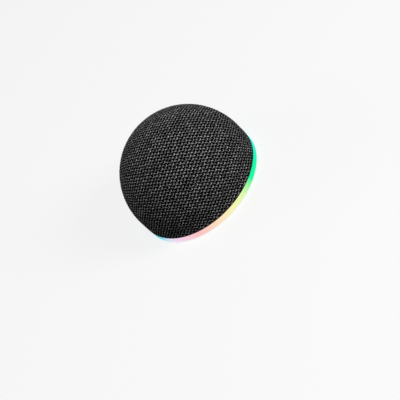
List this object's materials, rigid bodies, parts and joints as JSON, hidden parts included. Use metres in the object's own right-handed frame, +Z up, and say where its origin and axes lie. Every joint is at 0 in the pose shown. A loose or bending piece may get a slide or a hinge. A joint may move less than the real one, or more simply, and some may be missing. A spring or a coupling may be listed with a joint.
{
  "type": "magnet-mount smart speaker",
  "caption": "Small fabric-covered dome speaker with a lit ring round its foot, a magnet ring under a grip pad, rear keys and a rear charge inlet.",
  "frame": {"origin": "centre of the grip pad's lower face", "axes": "+Z up through the top of the dome, +Y towards the rear control panel"},
  "size_m": [0.064, 0.064, 0.0422],
  "materials": {
    "charcoal_fabric": "woven, matte",
    "black_plastic": "moulded, fine texture",
    "light_ring": "translucent, lit in colours around the ring",
    "silicone": "soft matte",
    "magnet": "nickel plated",
    "steel": "plain",
    "board_green": "solder mask",
    "board_white": "solder mask",
    "lamp": "clear top",
    "foam": "closed cell foam",
    "key_plastic": "satin",
    "chip_black": "moulded",
    "connector_white": "moulded",
    "battery_wrap": "foil pouch",
    "wire": "insulated",
    "flex": "polyimide film",
    "ferrite": "sintered",
    "copper": "enamelled winding",
    "paper_cone": "pressed pulp",
    "cloth_spider": "resin cloth",
    "clear_pipe": "clear"
  },
  "bodies": {
    "housing": {"fabric_cover": "charcoal_fabric", "grille_dome": "black_plastic", "light_ring": "light_ring", "base_shell": "black_plastic", "grip_pad": "silicone", "magnet_segments": "magnet", "magnet_back_plate": "steel", "led_board": "board_white", "ring_lamps": "lamp", "chassis_seal": "foam", "chassis": "black_plastic", "base_screws": "steel", "main_board": "board_green", "board_screws": "steel", "board_chips": "chip_black", "radio_module": "steel", "microphone": "steel", "battery_pad": "foam", "battery_cell": "battery_wrap", "lower_connectors": "connector_white", "battery_lead": "wire", "lamp_flex": "flex", "control_bezel": "black_plastic", "status_light": "clear_pipe", "key_switches": "steel", "charge_socket_shell": "steel", "charge_socket_tongue": "chip_black", "driver_gasket": "foam", "driver_frame": "black_plastic", "driver_terminals": "flex", "driver_screws": "steel", "driver_top_plate": "steel", "driver_magnet": "ferrite", "driver_yoke": "steel", "surround": "foam", "spider": "cloth_spider", "driver_connector": "connector_white", "driver_lead": "wire"},
    "cone_assembly": {"cone": "paper_cone", "dust_cap": "paper_cone", "coil_former": "flex", "voice_coil": "copper"},
    "volume_up_button": {"volume_up_key": "key_plastic", "volume_up_plunger": "chip_black"},
    "power_button": {"power_key": "key_plastic", "power_plunger": "chip_black"},
    "volume_down_button": {"volume_down_key": "key_plastic", "volume_down_plunger": "chip_black"}
  },
  "joints": [
    {"name": "cone_travel", "type": "slide", "parent": "housing", "child": "cone_assembly", "axis": [0, 0, 1], "range_m": [-0.0015, 0.0015], "stiffness_N_per_m": 1500, "deforming": ["surround", "spider"]},
    {"name": "volume_up_press", "type": "slide", "parent": "housing", "child": "volume_up_button", "axis": [-0.342, -0.9397, 0], "range_m": [0, 0.0005], "stiffness_N_per_m": 2000},
    {"name": "power_press", "type": "slide", "parent": "housing", "child": "power_button", "axis": [0, -1, 0], "range_m": [0, 0.0005], "stiffness_N_per_m": 2000},
    {"name": "volume_down_press", "type": "slide", "parent": "housing", "child": "volume_down_button", "axis": [0.342, -0.9397, 0], "range_m": [0, 0.0005], "stiffness_N_per_m": 2000}
  ]
}
